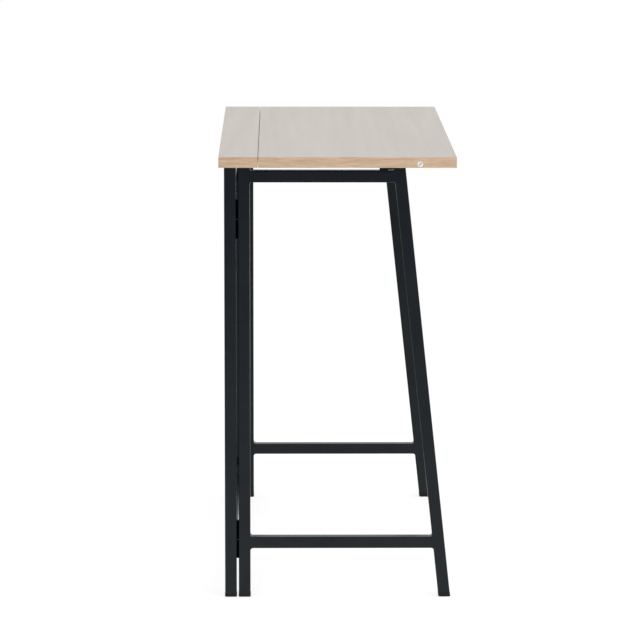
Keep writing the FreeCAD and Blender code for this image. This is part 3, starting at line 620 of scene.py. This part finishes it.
# Depths below the end faces over which the painted slot shade grows to full.
SLOT_SHADE_FROM = 0.4 * MM
SLOT_SHADE_FULL = 1.2 * MM
METALS = {
    "zinc_steel": {"dark": (0.46, 0.47, 0.49), "light": (0.62, 0.63, 0.65),
                   "rough": (0.28, 0.42), "fine_scale": 1400.0},
    "oiled_steel": {"dark": (0.18, 0.182, 0.186), "light": (0.32, 0.322, 0.326),
                    "rough": (0.30, 0.42), "fine_scale": 1400.0},
    "nickel_plug": {"dark": (0.76, 0.74, 0.73), "light": (0.90, 0.88, 0.86),
                    # Colour of the painted shade in the plug's slot.
                    "rough": (0.16, 0.26), "fine_scale": 1800.0, "shade_colour": (0.14, 0.13, 0.16)},
}


def painted_slot_shade(tree, place):
    """Painted shade in the slots cut into the two ends of the desk: 1 in the slots, 0 on the faces."""
    distance = add_node(tree, "ShaderNodeMath", {"operation": "ABSOLUTE"})
    tree.links.new(along(tree, place, "Y"), distance.inputs[0])
    end = cad_high.y
    return remap(tree, distance.outputs[0], 1.0, 0.0, end - SLOT_SHADE_FULL, end - SLOT_SHADE_FROM)


def bare_metal(name, dark, light, rough, fine_scale, shade_colour=None):
    """A plated or plain metal with uneven brightness and gloss, and a painted shade colour for its slots.
    """
    finish, tree, shader, place = start_finish(name, {"Metallic": 1.0})
    uneven = use_group(tree, UNEVENNESS, place, {"Fine Scale": fine_scale, "Broad Scale": METAL_PATCHES})
    colour = blend_colours(tree, uneven["Broad"], dark, light)
    if shade_colour:
        # Painted shade: the slots darken with their depth below the end faces.
        colour = blend_colours(tree, painted_slot_shade(tree, place), colour, shade_colour)
    tree.links.new(colour, shader.inputs["Base Color"])
    tree.links.new(remap(tree, uneven["Fine"], *rough), shader.inputs["Roughness"])
    raise_surface(tree, shader, uneven["Height"], *METAL_BUMP)
    return finish


for metal, metal_values in METALS.items():
    FINISHES[metal] = bare_metal(metal, **metal_values)
print("metals", list(METALS))

# %% [markdown]
# ## Putting the finishes on
# The record names a material slot for every part, so a finish can be looked up by that name. Three kinds of
# parts need a second look: the bands across the ends take the turned pattern, those inside the seam the one
# painted in shade, and the foot caps their greyer plastic with painted light from the floor.

# %% Assign the finishes
OTHER_FINISHES = {
    ("strip_near_band", "strip_far_band", "leaf_near_band", "leaf_far_band"): END_BAND,
    ("strip_seam_band", "leaf_seam_band"): SEAM_BAND,
    tuple(node for node in nodes if node.endswith("_foot")): FLOOR_LIT_FOOT,
}

for part in frame["record"]["subparts"]:
    nodes[part["node"]].material_slots[0].material = FINISHES[part["material_slot"]]
for other_nodes, other_finish in OTHER_FINISHES.items():
    for node in other_nodes:
        nodes[node].material_slots[0].material = other_finish
print("finishes", sorted(FINISHES))

# %% [markdown]
# ## Welds
# Where one tube ends on another, a weld fills the corner above and below with a small hollow fillet, and
# fills the groove at the rounded corner until the faces run into each other. It could be one loft, but it
# is easier to grow: start with the tube's outline inside the leg, and extrude that cap outwards step by
# step while its height shrinks along a quarter circle, down to the tube's own size. The stretchers have
# the largest fillets, and the slanted ends of the top rails the smallest.

# %% Weld collars
TUBE_CORNER = 2.5 * MM
# Fillets at the upright and at the slanted leg.
STRETCHER_WELDS = (4.4 * MM, 3.6 * MM)
RAIL_WELDS = (2.4 * MM, 1.2 * MM)
REAR_WELD = 2.4 * MM
WELD_ROOT = 2.8 * MM
WELD_SKIN = 0.06 * MM
WELD_STEPS = 6
CORNER_SEGMENTS = 5
SHARP_ANGLE = math.radians(40)


def grow_cap(bm, cap, first):
    """Extrudes a cap and returns the new one; of the old caps only the first stays, as the closed end."""
    grown = bmesh.ops.extrude_face_region(bm, geom=[cap])["geom"]
    if not first:
        bmesh.ops.delete(bm, geom=[cap], context="FACES_ONLY")
    return next(item for item in grown if isinstance(item, bmesh.types.BMFace))


def weld_collar(bm, width, height, leg):
    """One weld at the origin: the leg's face is the YZ plane and the tube runs out along +X."""
    outline = bmesh.ops.create_grid(bm, x_segments=1, y_segments=1, size=0.5)["verts"]
    span = (height + 2 * (leg + WELD_SKIN), width + 2 * WELD_SKIN, 1.0)
    bmesh.ops.scale(bm, vec=span, verts=outline)
    rounded = bmesh.ops.bevel(bm, geom=outline, offset=TUBE_CORNER, offset_type="OFFSET",
                              affect="VERTICES", segments=CORNER_SEGMENTS, profile=0.5, material=-1)
    cap = rounded["verts"][0].link_faces[0]
    everything = list(cap.verts)
    stand = Matrix.Translation((-WELD_ROOT, 0.0, 0.0)) @ Matrix.Rotation(math.pi / 2, 4, "Y")
    bmesh.ops.transform(bm, matrix=stand, verts=everything)
    reach = -WELD_ROOT
    tall = span[0]
    for step in range(WELD_STEPS + 1):
        turn = math.pi / 2 * step / WELD_STEPS
        next_reach = leg * (1 - math.cos(turn))
        next_tall = height + 2 * (WELD_SKIN + leg * (1 - math.sin(turn)))
        cap = grow_cap(bm, cap, step == 0)
        bmesh.ops.translate(bm, verts=cap.verts, vec=(next_reach - reach, 0.0, 0.0))
        bmesh.ops.scale(bm, vec=(1.0, 1.0, next_tall / tall), verts=cap.verts)
        everything += list(cap.verts)
        reach, tall = next_reach, next_tall
    return everything


def tilt(lean):
    """Leans a collar to a slanted leg: X changes with height."""
    shear = Matrix.Identity(4)
    shear[0][2] = -lean
    return shear


def piece_from(bm, name, body, slot):
    """Closes a mesh up into an object that rides on a body and takes a slot's finish."""
    bmesh.ops.recalc_face_normals(bm, faces=bm.faces)
    mesh = bpy.data.meshes.new(name)
    bm.to_mesh(mesh)
    bm.free()
    mesh.shade_smooth()
    mesh.set_sharp_from_angle(angle=SHARP_ANGLE)
    mesh.materials.append(FINISHES[slot])
    piece = bpy.data.objects.new(name, mesh)
    scene.collection.objects.link(piece)
    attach(piece, body)
    print(name, "faces", len(mesh.polygons))
    return piece


def gate_welds(end):
    """Welds of one gate: both ends of its top rail and of its stretcher."""
    bm = bmesh.new()
    rail_low, rail_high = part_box(f"{end}_gate_top_rail")
    bar_low, bar_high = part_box(f"{end}_gate_stretcher")
    lean = (bar_high.x - rail_high.x) / (rail_low.z - bar_low.z)
    for low, high, (upright_leg, slanted_leg) in ((rail_low, rail_high, RAIL_WELDS),
                                                  (bar_low, bar_high, STRETCHER_WELDS)):
        size = high - low
        middle = (low + high) / 2
        upright_end = Vector((low.x, middle.y, middle.z))
        bmesh.ops.translate(bm, verts=weld_collar(bm, size.y, size.z, upright_leg), vec=upright_end)
        slanted_end = Vector((high.x - lean * size.z / 2, middle.y, middle.z))
        place = Matrix.Translation(slanted_end) @ tilt(lean) @ Matrix.Rotation(math.pi, 4, "Z")
        bmesh.ops.transform(bm, matrix=place, verts=weld_collar(bm, size.y, size.z, slanted_leg))
    return piece_from(bm, f"{end}_gate_welds", f"{end}_gate", "black_powder_coat")


def rear_welds():
    """Welds of the rear frame: both ends of its two rails, which run along Y."""
    bm = bmesh.new()
    for node in ("rear_top_rail", "rear_lower_rail"):
        low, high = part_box(node)
        size = high - low
        middle = (low + high) / 2
        for end_y, turn in ((low.y, math.pi / 2), (high.y, -math.pi / 2)):
            place = Matrix.Translation((middle.x, end_y, middle.z)) @ Matrix.Rotation(turn, 4, "Z")
            bmesh.ops.transform(bm, matrix=place, verts=weld_collar(bm, size.x, size.z, REAR_WELD))
    return piece_from(bm, "rear_frame_welds", "rear_frame", "black_powder_coat")


for gate_end in ("near", "far"):
    gate_welds(gate_end)
rear_welds()

# %% [markdown]
# ## Weld beads round the hinge flags
# Each knuckle of a gate hinge carries a flag, a small plate that lies on the inner face of its tube. A weld
# bead runs round the three free edges of the flag. A welder lays it as a row of overlapping puddles, so it
# swells and thins as it goes. A bevelled curve would be even, so the bead is grown instead: a small round
# cap is extruded along the way, a step at a time, turns with it, and changes its size at every step.

# %% Hinge beads
BEAD_RADIUS = 1.9 * MM
BEAD_STEP = 1.4 * MM
BEAD_BEND = 0.8 * MM
BEAD_BEND_STEPS = 3
BEAD_SIDES = 14
BEAD_SWELL = (1.0, 0.9)
BEAD_TIP = 0.6
FLAG_HEIGHT = 15.0 * MM
FLAG_INSET = 1.5 * MM


def bead_way(across, down):
    """Step lengths and turns of a bead: out along one edge, down the second, back along the third."""
    bend = [(BEAD_BEND * math.pi / 2 / BEAD_BEND_STEPS, math.pi / 2 / BEAD_BEND_STEPS)] * BEAD_BEND_STEPS
    straight = {}
    for label, length in (("across", across), ("down", down)):
        count = round(length / BEAD_STEP)
        straight[label] = [(length / count, 0.0)] * count
    return straight["across"] + bend + straight["down"] + bend + straight["across"]


def lay_bead(bm, start, outwards, across, down):
    """One bead that starts at a point on a tube's face and runs outwards along X first."""
    ahead = Vector((outwards, 0.0, 0.0))
    side = Vector((0.0, 0.0, -1.0))
    heading = Matrix.Translation(start) @ Matrix((side, ahead.cross(side), ahead)).transposed().to_4x4()
    size = BEAD_TIP
    ring = bmesh.ops.create_circle(bm, cap_ends=True, segments=BEAD_SIDES,
                                   radius=BEAD_RADIUS * size)["verts"]
    cap = ring[0].link_faces[0]
    bmesh.ops.transform(bm, matrix=heading, verts=ring)
    way = bead_way(across, down)
    for count, (step, turn) in enumerate(way, 1):
        next_size = BEAD_TIP if count == len(way) else BEAD_SWELL[count % 2]
        next_heading = heading @ Matrix.Rotation(turn, 4, "Y") @ Matrix.Translation((0.0, 0.0, step))
        cap = grow_cap(bm, cap, count == 1)
        change = next_heading @ Matrix.Scale(next_size / size, 4) @ heading.inverted()
        bmesh.ops.transform(bm, matrix=change, verts=cap.verts)
        heading, size = next_heading, next_size


def flag_bead(bm, end, level, part):
    """The bead of one flag: on the rear leg the flag points back, on the gate it points forward."""
    low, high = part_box(f"{end}_{level}_{part}_knuckle")
    tube_low, tube_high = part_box(f"{end}_rear_leg" if part == "leg" else f"{end}_gate_upright")
    face_y = low.y if end == "near" else high.y
    if part == "leg":
        first_x, last_x, top_z = tube_high.x - TUBE_CORNER, low.x, low.z + FLAG_INSET + FLAG_HEIGHT
    else:
        first_x, last_x, top_z = tube_low.x + TUBE_CORNER, high.x, high.z - FLAG_INSET
    across = abs(last_x - first_x) - BEAD_BEND
    down = FLAG_HEIGHT - 2 * BEAD_BEND
    lay_bead(bm, Vector((first_x, face_y, top_z)), math.copysign(1.0, last_x - first_x), across, down)


def hinge_beads(name, body, part, ends):
    """All the beads that ride on one body, as one piece."""
    bm = bmesh.new()
    for end in ends:
        for level in ("lower", "upper"):
            flag_bead(bm, end, level, part)
    return piece_from(bm, name, body, "black_powder_coat")


hinge_beads("rear_frame_hinge_beads", "rear_frame", "leg", ("near", "far"))
for gate_end in ("near", "far"):
    hinge_beads(f"{gate_end}_gate_hinge_beads", f"{gate_end}_gate", "gate", (gate_end,))

# %% [markdown]
# ## Screws with a cross recess
# The top, its hinges and the stops are held by wood screws, driven in from below. The construction gives
# them plain heads. A recess could be cut with a boolean, but a cross is only a grid of nine squares without
# its corners: its outline is bridged to the round rim of the head, the cross is pushed in, and the rim is
# drawn out ring by ring into the side of the head, the shank and the point. Each screw stopped at its own
# angle when it was driven home, so each copy is turned a little further.

# %% Cross-recess screws
SCREW_SIDES = 24
SCREW_RADIUS = 1.6 * MM
SCREW_POINT = 3.0 * MM
SCREW_TIP = 0.2 * MM
SCREW_PITCH = 40.0 * MM
SCREW_TURN = math.radians(37)
CROSS_REACH = 0.6
CROSS_DEPTH = 0.36
CROSS_TAPER = 0.75
PAN_HEIGHT = 2.4 * MM
PAN_FLAT = 0.72
PAN_SIDE = ((0.93, 0.25), (1.0, 0.6), (1.0, 1.0))
PLATE_SINK = 1.2 * MM
STOP_SINK = 1.6 * MM


def picked(geometry, kind):
    """The vertices, edges or faces among what an operator made."""
    return [item for item in geometry if isinstance(item, kind)]


def recessed_rim(bm, radius):
    """The flat of a screw head in XY with a cross pushed in along +Z; returns its rim's edges."""
    grid = bmesh.ops.create_grid(bm, x_segments=3, y_segments=3, size=CROSS_REACH * radius)["verts"]
    squares = {square for vert in grid for square in vert.link_faces}
    corners = [square for square in squares if any(len(vert.link_faces) == 1 for vert in square.verts)]
    bmesh.ops.delete(bm, geom=corners, context="FACES")
    cross = [square for square in squares if square.is_valid]
    outline = [edge for square in cross for edge in square.edges if edge.is_boundary]
    circle = bmesh.ops.create_circle(bm, segments=SCREW_SIDES, radius=radius)["verts"]
    rim = list({edge for vert in circle for edge in vert.link_edges})
    bmesh.ops.bridge_loops(bm, edges=outline + rim)
    pushed = picked(bmesh.ops.extrude_face_region(bm, geom=cross)["geom"], bmesh.types.BMVert)
    bmesh.ops.scale(bm, vec=(CROSS_TAPER, CROSS_TAPER, 1.0), verts=pushed)
    bmesh.ops.translate(bm, vec=(0.0, 0.0, CROSS_DEPTH * radius), verts=pushed)
    bmesh.ops.delete(bm, geom=[square for square in cross if square.is_valid], context="FACES_ONLY")
    return rim


def draw_out(bm, rim, radius, rings):
    """Draws a rim out through rings of (radius, height), and closes the last one."""
    height = 0.0
    for next_radius, next_height in rings:
        grown = bmesh.ops.extrude_edge_only(bm, edges=rim)["geom"]
        ring = set(picked(grown, bmesh.types.BMVert))
        rim = [edge for edge in picked(grown, bmesh.types.BMEdge) if ring.issuperset(edge.verts)]
        share = next_radius / radius
        bmesh.ops.scale(bm, vec=(share, share, 1.0), verts=list(ring))
        bmesh.ops.translate(bm, vec=(0.0, 0.0, next_height - height), verts=list(ring))
        radius, height = next_radius, next_height
    bmesh.ops.contextual_create(bm, geom=rim)


def head_rings(radius, sink):
    """Radius of a head's flat, and the rings of its side: a cone if it is sunk, a low dome if it is not."""
    if sink:
        return radius, [(SCREW_RADIUS, sink)]
    dome = [(share * radius, rise * PAN_HEIGHT) for share, rise in PAN_SIDE]
    return PAN_FLAT * radius, dome + [(SCREW_RADIUS, PAN_HEIGHT)]


def recessed_screws(node, body, rows, sink):
    """Stands in for a node of screws that all point up, at the given places along Y."""
    low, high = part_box(node)
    bm = bmesh.new()
    flat_radius, rings = head_rings((high.x - low.x) / 2, sink)
    length = high.z - low.z
    rings += [(SCREW_RADIUS, length - SCREW_POINT), (SCREW_TIP, length)]
    draw_out(bm, recessed_rim(bm, flat_radius), flat_radius, rings)
    pattern = bm.verts[:] + bm.edges[:] + bm.faces[:]
    screws = [bmesh.ops.duplicate(bm, geom=pattern)["geom"] for _ in rows[1:]] + [pattern]
    for count, (screw, row) in enumerate(zip(screws, rows)):
        turned = Matrix.Rotation(count * SCREW_TURN, 4, "Z")
        place = Matrix.Translation(((low.x + high.x) / 2, row, low.z)) @ turned
        bmesh.ops.transform(bm, matrix=place, verts=picked(screw, bmesh.types.BMVert))
    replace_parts(piece_from(bm, f"recessed_{node}", body, "zinc_steel"), node)


def hinge_rows():
    """Two screws for each leaf hinge."""
    rows = []
    for place in ("near", "middle", "far"):
        low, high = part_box(f"{place}_leaf_hinge_fixed_plate")
        middle = (low.y + high.y) / 2
        rows += [middle - SCREW_PITCH / 2, middle + SCREW_PITCH / 2]
    return rows


def even_rows(node, count):
    """Screws spaced evenly from one end of a node to the other."""
    low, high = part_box(node)
    margin = (high.x - low.x) / 2
    first, last = low.y + margin, high.y - margin
    return [first + (last - first) * step / (count - 1) for step in range(count)]


recessed_screws("strip_hinge_screws", "rear_frame", hinge_rows(), PLATE_SINK)
recessed_screws("leaf_hinge_screws", "leaf", hinge_rows(), PLATE_SINK)
recessed_screws("gate_stop_screws", "leaf", even_rows("gate_stop_screws", 2), STOP_SINK)
recessed_screws("strip_fixing_screws", "rear_frame", even_rows("strip_fixing_screws", 4), None)

# %% [markdown]
# ## The end
# The dressed desk has to stay inside the construction's box, give or take the skin of a weld.

# %% End
print("end of the lesson")
